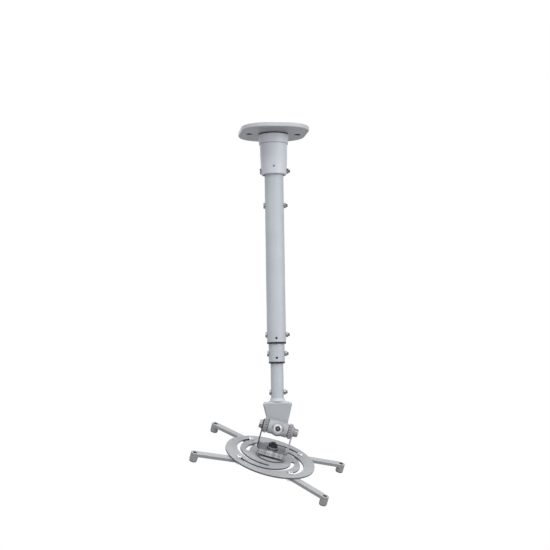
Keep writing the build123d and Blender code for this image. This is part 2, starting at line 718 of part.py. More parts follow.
nodes = {
    "ceiling_plate": ceiling_plate.part,
    "collar": collar.part,
    "collar_screws": collar_screws.part,
    "collar_bolt": collar_bolt,
    "collar_nut": collar_nut,
    "outer_tube": outer_tube,
    "outer_bush": outer_bush,
    "stop_bolt": stop_bolt,
    "stop_nut": stop_nut,
    "outer_clamps": outer_clamps,
    "outer_clamp_nut": outer_clamp_nut,
    "middle_tube": middle_tube,
    "middle_guide": middle_guide,
    "middle_bush": middle_bush,
    "middle_clamps": middle_clamps,
    "middle_clamp_nut": middle_clamp_nut,
    "inner_tube": inner_tube,
    "inner_guide": inner_guide,
    "neck_plug": neck_plug.part,
    "neck_bolt": neck_bolt,
    "neck_nut": neck_nut,
    "knuckle_bracket": knuckle_bracket.part,
    "pivot_screw": pivot_screw,
    "pivot_washer": pivot_washer,
    "pivot_spacer": pivot_spacer,
    "pivot_nut": pivot_nut,
    "pivot_barrel": pivot_barrel.part,
    "pitch_bolt_left": pitch_bolt_left,
    "pitch_bolt_right": pitch_bolt_right,
    "pitch_washers": pitch_washers.part,
    "u_bracket": u_bracket.part,
    "hub_spacer": hub_spacer,
    "swivel_bolt": swivel_bolt,
    "swivel_washer": swivel_washer,
    "swivel_nut": swivel_nut,
    "hub_plate": hub_plate,
    "spider_disc": spider_disc.part,
}
for index in range(4):
    nodes[f"arm_{index + 1}"] = arm(index)
    nodes[f"foot_bush_{index + 1}"] = foot_bush(index)
    nodes[f"arm_screw_{index + 1}"] = arm_screw(index)
    nodes[f"arm_nut_{index + 1}"] = arm_nut(index)

os.makedirs("parts", exist_ok=True)
for name, solid in nodes.items():
    solid.label = name
    export_step(solid, f"parts/{name}.step")
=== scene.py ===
import json
import math

import bmesh
import bpy
from mathutils import Matrix, Vector


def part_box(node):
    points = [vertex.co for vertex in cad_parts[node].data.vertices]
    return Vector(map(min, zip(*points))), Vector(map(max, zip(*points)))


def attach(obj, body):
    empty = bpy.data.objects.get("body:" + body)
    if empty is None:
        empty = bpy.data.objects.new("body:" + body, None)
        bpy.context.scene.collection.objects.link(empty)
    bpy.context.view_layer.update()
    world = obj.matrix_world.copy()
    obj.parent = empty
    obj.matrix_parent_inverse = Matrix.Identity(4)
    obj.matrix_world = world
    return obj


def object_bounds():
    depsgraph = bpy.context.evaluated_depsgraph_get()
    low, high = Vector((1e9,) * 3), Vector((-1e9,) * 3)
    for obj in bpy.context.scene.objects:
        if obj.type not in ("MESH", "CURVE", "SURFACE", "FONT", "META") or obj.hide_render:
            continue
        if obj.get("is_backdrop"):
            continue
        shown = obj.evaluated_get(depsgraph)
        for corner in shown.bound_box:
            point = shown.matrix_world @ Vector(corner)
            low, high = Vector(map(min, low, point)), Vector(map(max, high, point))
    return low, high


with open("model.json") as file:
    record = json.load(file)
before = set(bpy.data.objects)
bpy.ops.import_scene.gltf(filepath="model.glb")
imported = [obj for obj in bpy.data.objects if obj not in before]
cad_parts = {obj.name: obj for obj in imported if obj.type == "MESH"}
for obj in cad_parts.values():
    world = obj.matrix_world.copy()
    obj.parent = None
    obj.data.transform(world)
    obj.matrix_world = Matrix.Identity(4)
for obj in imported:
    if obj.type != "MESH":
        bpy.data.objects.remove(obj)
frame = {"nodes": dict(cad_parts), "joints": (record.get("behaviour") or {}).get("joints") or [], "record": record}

# Lengths in metres, angles in degrees unless a name says otherwise.

# Camera, from the photograph; the sensor is in mm
IMAGE_SIZE = 550
FOCAL_PIXELS = 1155.0
EYE_DISTANCE = 2.30
EYE_HEIGHT = -0.482
EYE_ASIDE = -0.001
LOOK_UP = 4.693
CAMERA_ROLL = -0.9
SENSOR = 36.0
CLIP_NEAR = 0.05
CLIP_FAR = 30.0

# Floor far below the mount
FLOOR_DROP = 0.55
FLOOR_HALF = 6.0
FLOOR_COLOUR = (0.40, 0.40, 0.40)
FLOOR_ROUGH = 0.9

# Light; the floor and the world both show as plain white to the camera
SEEN_WHITE = 1.0
WORLD_COLOUR = (0.93, 0.95, 1.0)
WORLD_LEVEL = 0.42
LAMP_AIM = Vector((0, 0, -0.45))

# Bevel and shading of the meshes
BEVEL_COATED = 0.0006
BEVEL_FASTENER = 0.00035
BEVEL_SEGMENTS = 2
SHARP_ANGLE = 32.0

cad_low, cad_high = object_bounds()
nodes = frame["nodes"]
joints = {j["name"]: j for j in frame["joints"]}


def joint_point(name):
    """A joint's place in the row frame."""
    return Vector(joints[name]["pos_m"])


def joint_axis(name):
    """A joint's axis in the row frame."""
    return Vector(joints[name]["axis"]).normalized()


# Directions at the knuckle: along the barrel, up from the disc, and from front to back
pivot = joint_point("pitch")
across = joint_axis("pitch")
disc_up = joint_axis("swivel")
deep = disc_up.cross(across)
sky = Vector((0, 0, 1))
down = -sky


# Shader nodes

def new_material(name):
    """A node material, its tree and its shader."""
    made = bpy.data.materials.new(name)
    made.use_nodes = True
    tree = made.node_tree
    return made, tree, tree.nodes["Principled BSDF"]


def noise(tree, scale, detail=4.0, rough=0.5, stretch=None):
    """A noise texture in object coordinates, optionally stretched."""
    spot = tree.nodes.new("ShaderNodeTexCoord")
    tex = tree.nodes.new("ShaderNodeTexNoise")
    tex.inputs["Scale"].default_value = scale
    tex.inputs["Detail"].default_value = detail
    tex.inputs["Roughness"].default_value = rough
    if stretch:
        place = tree.nodes.new("ShaderNodeMapping")
        place.inputs["Scale"].default_value = stretch
        tree.links.new(spot.outputs["Object"], place.inputs["Vector"])
        tree.links.new(place.outputs["Vector"], tex.inputs["Vector"])
    else:
        tree.links.new(spot.outputs["Object"], tex.inputs["Vector"])
    return tex.outputs["Fac"]


def ramp(tree, value, stops):
    """A colour ramp over a value; stops are (place, colour)."""
    node = tree.nodes.new("ShaderNodeValToRGB")
    node.color_ramp.elements[0].position = stops[0][0]
    node.color_ramp.elements[0].color = (*stops[0][1], 1)
    node.color_ramp.elements[1].position = stops[-1][0]
    node.color_ramp.elements[1].color = (*stops[-1][1], 1)
    for place, colour in stops[1:-1]:
        added = node.color_ramp.elements.new(place)
        added.color = (*colour, 1)
    tree.links.new(value, node.inputs["Fac"])
    return node.outputs["Color"]


def spread(tree, value, low, high):
    """A value remapped from 0..1 to low..high."""
    node = tree.nodes.new("ShaderNodeMapRange")
    node.inputs["To Min"].default_value = low
    node.inputs["To Max"].default_value = high
    tree.links.new(value, node.inputs["Value"])
    return node.outputs["Result"]


def between(tree, value, start, end):
    """A value remapped from start..end to 0..1, clamped."""
    node = tree.nodes.new("ShaderNodeMapRange")
    node.inputs["From Min"].default_value = start
    node.inputs["From Max"].default_value = end
    tree.links.new(value, node.inputs["Value"])
    return node.outputs["Result"]


def multiplied(tree, colour, other):
    """Two colours multiplied."""
    node = tree.nodes.new("ShaderNodeMixRGB")
    node.blend_type = "MULTIPLY"
    node.inputs["Fac"].default_value = 1.0
    tree.links.new(colour, node.inputs["Color1"])
    tree.links.new(other, node.inputs["Color2"])
    return node.outputs["Color"]


def add_bump(tree, shader, value, strength, depth):
    """Relief from a value, with its depth in metres."""
    node = tree.nodes.new("ShaderNodeBump")
    node.inputs["Strength"].default_value = strength
    node.inputs["Distance"].default_value = depth
    tree.links.new(value, node.inputs["Height"])
    tree.links.new(node.outputs["Normal"], shader.inputs["Normal"])


def math_step(tree, operation, value, other=None):
    """A math node over a value, with a number or a second value."""
    node = tree.nodes.new("ShaderNodeMath")
    node.operation = operation
    tree.links.new(value, node.inputs[0])
    if isinstance(other, float):
        node.inputs[1].default_value = other
    elif other is not None:
        tree.links.new(other, node.inputs[1])
    return node.outputs[0]


def vector_step(tree, operation, value, other=None):
    """A vector math node over a value, with a fixed vector."""
    node = tree.nodes.new("ShaderNodeVectorMath")
    node.operation = operation
    tree.links.new(value, node.inputs[0])
    if other is not None:
        node.inputs[1].default_value = other
    return node


def offset_from(tree, origin):
    """A point's offset from an origin, in the row frame."""
    spot = tree.nodes.new("ShaderNodeTexCoord")
    return vector_step(tree, "SUBTRACT", spot.outputs["Object"], origin).outputs["Vector"]


def measured(tree, origin, axis):
    """The distance of a point along an axis, in the row frame."""
    return vector_step(tree, "DOT_PRODUCT", offset_from(tree, origin), axis).outputs["Value"]


def away_from(tree, origin, axis):
    """The distance of a point from a line."""
    crossed = vector_step(tree, "CROSS_PRODUCT", offset_from(tree, origin), axis)
    return vector_step(tree, "LENGTH", crossed.outputs["Vector"]).outputs["Value"]


def turned_to(tree, axis):
    """How far a surface faces along an axis, from -1 to 1, in the row frame."""
    spot = tree.nodes.new("ShaderNodeTexCoord")
    return vector_step(tree, "DOT_PRODUCT", spot.outputs["Normal"], axis).outputs["Value"]


# Kinds of surface; a noise scale is in cells a metre

COAT_MOTTLE = 22.0
COAT_WEAR = 60.0
COAT_GRAIN = 900.0
COARSE_GRAIN = 600.0
COAT_RELIEF = 0.00012
STEEL_LINES = 240.0
STEEL_STRETCH = (6.0, 6.0, 1.0)
STEEL_WEAR = 45.0
STEEL_RELIEF = 0.0001
PLASTIC_MOTTLE = 80.0
PLASTIC_WEAR = 150.0
PLASTIC_GRAIN = 1400.0
PLASTIC_RELIEF = 0.0001
PLASTIC_SHINE = 0.15


def coated(name, low, high, rough, metal, grain=COAT_GRAIN):
    """Powder coat: slight mottling, orange-peel relief, soft metallic sheen."""
    made, tree, shader = new_material(name)
    mottle = noise(tree, COAT_MOTTLE, detail=5.0, rough=0.6)
    colour = ramp(tree, mottle, [(0.3, low), (0.7, high)])
    tree.links.new(colour, shader.inputs["Base Color"])
    shader.inputs["Metallic"].default_value = metal
    rougher = spread(tree, noise(tree, COAT_WEAR, detail=3.0), rough - 0.06, rough + 0.06)
    tree.links.new(rougher, shader.inputs["Roughness"])
    add_bump(tree, shader, noise(tree, grain, detail=2.0), strength=0.25, depth=COAT_RELIEF)
    return made


def plated(name, low, high, rough):
    """Bare or plated steel with fine drawn lines."""
    made, tree, shader = new_material(name)
    lines = noise(tree, STEEL_LINES, detail=6.0, rough=0.65, stretch=STEEL_STRETCH)
    colour = ramp(tree, lines, [(0.25, low), (0.75, high)])
    tree.links.new(colour, shader.inputs["Base Color"])
    shader.inputs["Metallic"].default_value = 1.0
    rougher = spread(tree, noise(tree, STEEL_WEAR), rough - 0.08, rough + 0.1)
    tree.links.new(rougher, shader.inputs["Roughness"])
    add_bump(tree, shader, lines, strength=0.2, depth=STEEL_RELIEF)
    return made


def moulded(name, low, high, rough):
    """Moulded plastic with a fine texture."""
    made, tree, shader = new_material(name)
    colour = ramp(tree, noise(tree, PLASTIC_MOTTLE), [(0.3, low), (0.7, high)])
    tree.links.new(colour, shader.inputs["Base Color"])
    rougher = spread(tree, noise(tree, PLASTIC_WEAR), rough - 0.05, rough + 0.08)
    tree.links.new(rougher, shader.inputs["Roughness"])
    shader.inputs["Specular IOR Level"].default_value = PLASTIC_SHINE
    add_bump(tree, shader, noise(tree, PLASTIC_GRAIN, detail=2.0), strength=0.3, depth=PLASTIC_RELIEF)
    return made


# Painted light and shade by place and direction; a level multiplies the colour

TOP_FACES = (0.1, 0.6)
DOWN_FACES = (-0.9, -0.3)
SIDE_FACE_LIMIT = 0.2
FLAT_FACE = 0.75
FOOT_SHADOW_HEIGHTS = (0.0009, 0.0013)
RING_ABOVE = 0.0016
RING_BELOW = 0.0003
# Painted shade across a screw's socket, from its middle out to the head
SOCKET_SHADES = [(0.0, 0.22), (0.3, 0.30), (0.5, 0.05), (0.85, 0.05), (1.0, 1.0)]


def shaded(made, value, stops):
    """Multiply a material's colour by grey stops over a value from 0 to 1."""
    tree = made.node_tree
    shader = tree.nodes["Principled BSDF"]
    colour = shader.inputs["Base Color"].links[0].from_socket
    shade = ramp(tree, value, [(place, (level, level, level)) for place, level in stops])
    tree.links.new(multiplied(tree, colour, shade), shader.inputs["Base Color"])
    return made


def darkened(made, value, level):
    """Multiply a material's colour by a level where a value is 0, and leave it where that is 1."""
    return shaded(made, value, [(0.0, level), (1.0, 1.0)])


def painted_side_shade(made, axis, level):
    """Paint shade on the faces that stand along an axis, such as rims, side faces and slot walls."""
    tree = made.node_tree
    turned = math_step(tree, "ABSOLUTE", turned_to(tree, axis))
    return shaded(made, turned, [(SIDE_FACE_LIMIT, level), (FLAT_FACE, 1.0)])


def painted_top_light(made, axis, level):
    """Paint light on a material where it faces along an axis, darkening it by a level elsewhere."""
    tree = made.node_tree
    return darkened(made, between(tree, turned_to(tree, axis), *TOP_FACES), level)


def painted_under_shade(made, level):
    """Paint shade on a material where it faces down."""
    tree = made.node_tree
    return darkened(made, between(tree, turned_to(tree, sky), *DOWN_FACES), level)


def painted_groove_shade(made, origin, axis, radii, level):
    """Paint shade in a turned part's grooves, fading out from a low radius to a high one."""
    tree = made.node_tree
    return darkened(made, between(tree, away_from(tree, origin, axis), *radii), level)


def painted_foot_shadow(made, node_name, level):
    """Paint a shadow round a tube's foot, in the gap where its bush sits."""
    foot = Vector((0, 0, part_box(node_name)[0][2]))
    tree = made.node_tree
    return darkened(made, between(tree, measured(tree, foot, sky), *FOOT_SHADOW_HEIGHTS), level)


def painted_shade_line(made, top, drop, level):
    """Paint a thin line of shade round a turned part, at a distance below its top."""
    tree = made.node_tree
    line = between(tree, measured(tree, top, down), drop - RING_ABOVE, drop + RING_BELOW)
    return shaded(made, line, [(0.0, 1.0), (0.2, level), (0.8, level), (1.0, 1.0)])


def painted_knurl_shade(made, origin, axis, side, count, level):
    """Painted ridges along an axis round a turned part, with painted shade in their valleys."""
    tree = made.node_tree
    sine = measured(tree, origin, side)
    cosine = measured(tree, origin, axis.cross(side))
    angle = math_step(tree, "ARCTAN2", sine, cosine)
    wave = math_step(tree, "COSINE", math_step(tree, "MULTIPLY", angle, float(count)))
    return shaded(made, between(tree, wave, -1.0, 1.0), [(0.0, level), (0.6, 1.0)])


def painted_socket_shade(name, base, origin, axis, radius):
    """A plated screw head with painted shade in its socket, darkest in a ring round a grey middle."""
    made = plated(name, *base)
    tree = made.node_tree
    return shaded(made, between(tree, away_from(tree, origin, axis), 0.0, radius), SOCKET_SHADES)


# Brushed web of the U bracket: its shape and grain, and its painted reflection, light and shade from the back edge
# to the front lip

WEB_DEEP = 0.040
WEB_DROP = 0.043
LIP_DROP = 0.012
EAR_FOOT = 0.005
EAR_REACH = 0.0275
BRUSH_FINE = 520.0
BRUSH_LONG = 9.0
WEB_METAL = 0.45
WEB_ROUGH = 0.42
STREAK_SHADES = [(0.32, (0.42, 0.42, 0.42)), (0.62, (1.0, 1.0, 1.0))]
# The web's own tone, with a painted reflection darkening its middle, painted light on its back edge and lip, and a
# painted shadow along the lip's foot
WEB_TONE_AND_PAINTED_SHADE = [
    (0.0, (0.34, 0.35, 0.37)),
    (0.3, (0.19, 0.195, 0.21)),
    (0.55, (0.15, 0.155, 0.165)),
    (0.7, (0.19, 0.195, 0.21)),
    (0.79, (0.33, 0.34, 0.355)),
    (0.9, (0.52, 0.53, 0.55)),
    (0.955, (0.64, 0.65, 0.67)),
    (0.965, (0.05, 0.05, 0.055)),
    (1.0, (0.05, 0.05, 0.055)),
]
# Painted shade on the left ear and painted light on the right ear
EAR_PAINTED_LIGHT = [(0.0, 0.4), (0.07, 0.4), (0.1, 1.0), (0.9, 1.0), (0.93, 2.4), (1.0, 2.4)]
# A painted reflection: a bright spot on the web in front of the swivel nut
REFLECTION_ASIDE = 0.003
REFLECTION_FORWARD = 0.015
REFLECTION_RADIUS = 0.007
REFLECTION_SHADES = [(0.0, 2.0), (0.4, 1.7), (1.0, 1.0)]


def brushed_and_shaded_web(name, origin, across, deep, up):
    """Brushed sheet: lines from front to back, a painted reflection darkening the middle of the web, painted light
    on its back edge and lip, a painted shadow at the lip's foot.
    """
    made, tree, shader = new_material(name)
    place = tree.nodes.new("ShaderNodeCombineXYZ")
    for socket, axis, size in (("X", across, BRUSH_FINE), ("Y", deep, BRUSH_LONG), ("Z", up, BRUSH_LONG)):
        scaled = math_step(tree, "MULTIPLY", measured(tree, origin, axis), size)
        tree.links.new(scaled, place.inputs[socket])
    lines = tree.nodes.new("ShaderNodeTexNoise")
    lines.inputs["Scale"].default_value = 1.0
    lines.inputs["Detail"].default_value = 5.0
    tree.links.new(place.outputs["Vector"], lines.inputs["Vector"])
    streaks = ramp(tree, lines.outputs["Fac"], STREAK_SHADES)
    # Painted reflection, light and shade from the web's back edge down to the lip's foot
    forward = between(tree, measured(tree, origin, deep), WEB_DEEP / 2, -WEB_DEEP / 2)
    below = between(tree, measured(tree, origin, up), -WEB_DROP, -WEB_DROP - LIP_DROP)
    lip_share = LIP_DROP / WEB_DEEP
    path = math_step(tree, "ADD", math_step(tree, "MULTIPLY", below, lip_share), forward)
    web = ramp(tree, between(tree, path, 0.0, 1.0 + lip_share), WEB_TONE_AND_PAINTED_SHADE)
    tree.links.new(multiplied(tree, web, streaks), shader.inputs["Base Color"])
    # Painted shade on the left ear and painted light on the right, above the web
    above_web = between(tree, measured(tree, origin, up), -WEB_DROP, -WEB_DROP + EAR_FOOT)
    aside = math_step(tree, "MULTIPLY", measured(tree, origin, across), above_web)
    shaded(made, between(tree, aside, -EAR_REACH, EAR_REACH), EAR_PAINTED_LIGHT)
    # Painted reflection: a brighter spot in front of the nut
    reflection_spot = origin - across * REFLECTION_ASIDE - deep * REFLECTION_FORWARD
    shaded(made, between(tree, away_from(tree, reflection_spot, up), 0.0, REFLECTION_RADIUS), REFLECTION_SHADES)
    shader.inputs["Metallic"].default_value = WEB_METAL
    shader.inputs["Roughness"].default_value = WEB_ROUGH
    add_bump(tree, shader, lines.outputs["Fac"], strength=0.15, depth=STEEL_RELIEF)
    return made


# Materials: two colours, roughness and, for a coat, how metallic it is

BAND_FOOT = 0.0209
BARREL_GROOVES = (0.0124, 0.0137)
TOOTH_VALLEYS = (0.0141, 0.0149)
SOCKET_RADIUS = 0.0057
KNURL_RIDGES = 16
BRIGHT = ((0.55, 0.56, 0.57), (0.74, 0.74, 0.75), 0.28)
TUBE_SHADES = ((0.395, 0.415, 0.45), (0.43, 0.45, 0.485), 0.58, 0.05)

SILVER_COAT = coated("silver_coat", (0.405, 0.425, 0.455), (0.445, 0.465, 0.495), 0.56, 0.05)
PLATE_COAT = coated("plate_coat", (0.405, 0.415, 0.44), (0.445, 0.455, 0.48), 0.56, 0.05)
# Painted shade on the plate's underside
painted_under_shade(PLATE_COAT, level=0.78)
COLLAR_COAT = coated("collar_coat", (0.475, 0.50, 0.535), (0.52, 0.545, 0.58), 0.56, 0.05)
collar_low, collar_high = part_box("collar")
# Painted shade under the step at the foot of the collar's band
painted_shade_line(COLLAR_COAT, Vector((0, 0, collar_high[2])), BAND_FOOT, level=0.6)
# Painted shadow round the feet of the outer and middle tubes
OUTER_COAT = painted_foot_shadow(coated("outer_coat", *TUBE_SHADES), "outer_tube", level=0.12)
MIDDLE_COAT = painted_foot_shadow(coated("middle_coat", *TUBE_SHADES), "middle_tube", level=0.12)
TUBE_COAT = coated("tube_coat", *TUBE_SHADES)
# Painted light: a paler coat for the neck and its weld, where top light falls
NECK_PAINTED_LIGHT_COAT = coated("neck_painted_light_coat", (0.50, 0.52, 0.55), (0.55, 0.57, 0.60), 0.56, 0.05)
KNUCKLE_COAT = coated("knuckle_coat", (0.46, 0.48, 0.505), (0.51, 0.53, 0.555), 0.56, 0.05)
# Painted light: the knuckle's upward faces and top bend are paler
painted_top_light(KNUCKLE_COAT, sky, level=0.71)
BARREL_COAT = coated("barrel_coat", (0.24, 0.245, 0.26), (0.42, 0.425, 0.44), 0.50, 0.1, COARSE_GRAIN)
# Painted shade in the barrel's grooves
painted_groove_shade(BARREL_COAT, pivot, across, BARREL_GROOVES, level=0.3)
SERRATED_COAT = coated("serrated_coat", (0.33, 0.335, 0.35), (0.44, 0.445, 0.46), 0.46, 0.2, COARSE_GRAIN)
# Painted shade in the valleys between the serration teeth
painted_groove_shade(SERRATED_COAT, pivot, across, TOOTH_VALLEYS, level=0.12)
DISC_COAT = coated("disc_coat", (0.335, 0.345, 0.36), (0.375, 0.385, 0.40), 0.55, 0.1)
# Painted shade on the rims and slot walls of the disc and the hub plate
painted_side_shade(DISC_COAT, disc_up, level=0.3)
ARM_COAT = coated("arm_coat", (0.38, 0.385, 0.395), (0.43, 0.435, 0.445), 0.55, 0.1)
# Painted shade on the arms' side faces
painted_side_shade(ARM_COAT, disc_up, level=0.64)
# Painted shade: the plug's dark coat stands for the shade in the collar's front hole
PLUG_SHADE_COAT = coated("plug_shade_coat", (0.16, 0.165, 0.18), (0.20, 0.205, 0.22), 0.6, 0.05)
# Painted shadow: the hub spacer is near black, for the shadow in the gap under the bracket's lip
SPACER_PAINTED_SHADOW = coated("spacer_painted_shadow", (0.045, 0.047, 0.052), (0.07, 0.072, 0.078), 0.6, 0.1)
WEB_STEEL = brushed_and_shaded_web("web_steel", pivot, across, deep, disc_up)
# Painted shade in the pivot screw's socket
PIVOT_ZINC = painted_socket_shade("pivot_zinc", BRIGHT, pivot, joint_axis("roll"), SOCKET_RADIUS)
ZINC = plated("zinc", *BRIGHT)
MID_ZINC = plated("mid_zinc", (0.10, 0.105, 0.115), (0.34, 0.345, 0.36), 0.42)
KNURL_SHADED_ZINC = plated("knurl_shaded_zinc", (0.28, 0.285, 0.30), (0.42, 0.425, 0.44), 0.42)
# Painted shade of knurl valleys on the pitch bolt heads
painted_knurl_shade(KNURL_SHADED_ZINC, pivot, across, disc_up, KNURL_RIDGES, level=0.25)
WASHER_ZINC = plated("washer_zinc", (0.42, 0.425, 0.44), (0.60, 0.605, 0.62), 0.55)
DARK_ZINC = plated("dark_zinc", (0.05, 0.05, 0.055), (0.12, 0.12, 0.125), 0.36)
BLACK_OXIDE = moulded("black_oxide", (0.02, 0.022, 0.026), (0.045, 0.048, 0.055), 0.45)
BLACK_NYLON = moulded("black_nylon", (0.006, 0.006, 0.007), (0.012, 0.012, 0.013), 0.55)
FOOT_NYLON = moulded("foot_nylon", (0.05, 0.05, 0.052), (0.08, 0.08, 0.082), 0.55)

NODE_MATERIALS = {
    "ceiling_plate": PLATE_COAT,
    "collar": COLLAR_COAT,
    "outer_tube": OUTER_COAT,
    "middle_tube": MIDDLE_COAT,
    "inner_tube": TUBE_COAT,
    "neck_plug": NECK_PAINTED_LIGHT_COAT,
    "knuckle_bracket": KNUCKLE_COAT,
    "pivot_barrel": BARREL_COAT,
    "pivot_screw": PIVOT_ZINC,
    "pitch_bolt_left": KNURL_SHADED_ZINC,
    "pitch_bolt_right": KNURL_SHADED_ZINC,
    "pitch_washers": MID_ZINC,
    "u_bracket": WEB_STEEL,
    "swivel_bolt": BLACK_OXIDE,
    "swivel_nut": BLACK_OXIDE,
    "swivel_washer": DARK_ZINC,
    "hub_spacer": SPACER_PAINTED_SHADOW,
    "hub_plate": DISC_COAT,
    "spider_disc": DISC_COAT,
    "collar_bolt": MID_ZINC,
    "collar_nut": MID_ZINC,
    "stop_bolt": MID_ZINC,
    "stop_nut": MID_ZINC,
    "outer_clamp_nut": MID_ZINC,
    "middle_clamp_nut": MID_ZINC,
    "neck_nut": MID_ZINC,
    "outer_clamps": MID_ZINC,
    "middle_clamps": MID_ZINC,
    "neck_bolt": MID_ZINC,
}
for number in range(1, 5):
    NODE_MATERIALS[f"arm_{number}"] = ARM_COAT
    NODE_MATERIALS[f"foot_bush_{number}"] = FOOT_NYLON
SLOT_MATERIALS = {
    "powder_coat": SILVER_COAT,
    "zinc_steel": ZINC,
    "dark_steel": DARK_ZINC,
    "black_nylon": BLACK_NYLON,
}


# Finish of the CAD nodes and of the pieces made here

def smoothed(data):
    """Smooth shading with sharp edges at the hard corners."""
    for face in data.polygons:
        face.use_smooth = True
    data.set_sharp_from_angle(angle=math.radians(SHARP_ANGLE))


slots = {row["node"]: row["material_slot"] for row in frame["record"]["subparts"]}
for name, node in nodes.items():
    node.data.materials.clear()
    node.data.materials.append(NODE_MATERIALS.get(name, SLOT_MATERIALS[slots[name]]))
    smoothed(node.data)
    bevel = node.modifiers.new("edge_break", "BEVEL")
    bevel.width = BEVEL_COATED if slots[name] == "powder_coat" else BEVEL_FASTENER
    bevel.segments = BEVEL_SEGMENTS
    bevel.limit_method = "ANGLE"
    bevel.angle_limit = math.radians(SHARP_ANGLE)
    bevel.harden_normals = True


def add_piece(name, mesh, body, material):
    """A new object from a bmesh, in the row frame, riding on a body."""
    data = bpy.data.meshes.new(name)
    mesh.to_mesh(data)
    mesh.free()
    piece = bpy.data.objects.new(name, data)
    bpy.context.scene.collection.objects.link(piece)
    data.materials.append(material)
    smoothed(data)
    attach(piece, body)


def axis_frame(origin, axis):
    """A matrix whose Z is the axis and whose origin is the point."""
    turn = axis.normalized().to_track_quat("Z", "Y").to_matrix().to_4x4()
    return Matrix.Translation(origin) @ turn


def lathe(profile, steps, place, radial=None):
    """A bmesh turned from (radius, height) points; radial(angle, radius) adds to a radius."""
    mesh = bmesh.new()
    rings = []
    for step in range(steps):
        angle = 2 * math.pi * step / steps
        row = []
        for radius, height in profile:
            r = radius + (radial(angle, radius) if radial else 0.0)
            row.append(mesh.verts.new((r * math.cos(angle), r * math.sin(angle), height)))
        rings.append(row)
    for step in range(steps):
        here, there = rings[step], rings[(step + 1) % steps]
        for i in range(len(profile)):
            j = (i + 1) % len(profile)
            mesh.faces.new((here[i], there[i], there[j], here[j]))
    bmesh.ops.transform(mesh, matrix=place, verts=mesh.verts)
    bmesh.ops.recalc_face_normals(mesh, faces=mesh.faces)
    return mesh


# Serrated rings round the barrel's ends, their heights measured out from the barrel's middle

BARREL_RADIUS = 0.014
BARREL_HALF = 0.0285
SERRATION_TEETH = 26
SERRATION_STEPS = 8
SERRATION_HIGH = 0.0011
SERRATION_LEVEL = 0.5
SERRATION_SWING = 0.9
SERRATION_LOWEST = 0.08
SERRATION_WIDTH = 0.0056
SERRATION_INSET = 0.0012
SERRATION_CHAMFER = 0.0006
SERRATION_ROOT = 0.001
SERRATION_SINK = 0.0001


def serrated(angle, radius):
    """A tooth's height over the barrel at an angle."""
    if radius < BARREL_RADIUS:
        return 0.0
    wave = SERRATION_LEVEL + SERRATION_SWING * math.cos(angle * SERRATION_TEETH)
    return SERRATION_HIGH * min(1.0, max(SERRATION_LOWEST, wave))


serration_near = BARREL_HALF - SERRATION_WIDTH - SERRATION_INSET
serration_far = serration_near + SERRATION_WIDTH
serration = [
    (BARREL_RADIUS - SERRATION_ROOT, serration_near),
    (BARREL_RADIUS - SERRATION_SINK, serration_near),
    (BARREL_RADIUS, serration_near + SERRATION_CHAMFER),
    (BARREL_RADIUS, serration_far - SERRATION_CHAMFER),
    (BARREL_RADIUS - SERRATION_SINK, serration_far),
    (BARREL_RADIUS - SERRATION_ROOT, serration_far),
]
for side, label in ((-1, "left"), (1, "right")):
    place = axis_frame(pivot, across * side)
    ring = lathe(serration, SERRATION_TEETH * SERRATION_STEPS, place, serrated)
    add_piece(f"barrel_serration_{label}", ring, "barrel", SERRATED_COAT)


# Toothed lock ring round the foot of the swivel nut, its heights measured up from that foot

LOCK_TEETH = 10
LOCK_STEPS = 10
LOCK_TOOTH = 0.0011
LOCK_SWING = 1.6
LOCK_VALLEY = -0.4
LOCK_HIGH = 0.0022
LOCK_GAP = 0.0001
LOCK_LIFT = 0.00005
LOCK_FOOT_WIDE = 0.0012
LOCK_TOP_WIDE = 0.0014
LOCK_LIP_WIDE = 0.0006
LOCK_WALL = 0.0005


def toothed(angle, radius):
    """A lock ring's tooth at an angle, on its outer wall only."""
    if radius < lock_inside + LOCK_WALL:
        return 0.0
    return LOCK_TOOTH * min(1.0, max(LOCK_VALLEY, LOCK_SWING * math.cos(angle * LOCK_TEETH)))


swivel_point = joint_point("swivel")
nut_spots = [corner.co - swivel_point for corner in nodes["swivel_nut"].data.vertices]
nut_foot = min(spot.dot(disc_up) for spot in nut_spots)
nut_reach = max(spot.cross(disc_up).length for spot in nut_spots)
lock_inside = nut_reach + LOCK_GAP
lock_profile = [
    (lock_inside, LOCK_LIFT),
    (lock_inside + LOCK_FOOT_WIDE, LOCK_LIFT),
    (lock_inside + LOCK_TOP_WIDE, LOCK_HIGH),
    (lock_inside + LOCK_LIP_WIDE, LOCK_HIGH),
    (lock_inside, LOCK_HIGH / 2),
]
lock_place = axis_frame(swivel_point + disc_up * nut_foot, disc_up)
lock = lathe(lock_profile, LOCK_TEETH * LOCK_STEPS, lock_place, toothed)
add_piece("swivel_lock_ring", lock, "bracket", WASHER_ZINC)


# Threads on the bolt ends that show beyond their nuts; the profile is in pitches along and reliefs out

BOLT_RADIUS = 0.003
THREAD_PITCH = 0.001
THREAD_RELIEF = 0.00022
THREAD_STEPS = 28
THREAD_SHOWS = 0.0028
THREAD_PROFILE = ((-0.42, 0.0), (0.0, 1.0), (0.42, 0.0), (0.0, -1.0))
THREADED_NUTS = {
    "collar_nut": "ceiling_mast",
    "stop_nut": "ceiling_mast",
    "outer_clamp_nut": "ceiling_mast",
    "middle_clamp_nut": "middle_mast",
    "neck_nut": "lower_mast",
}


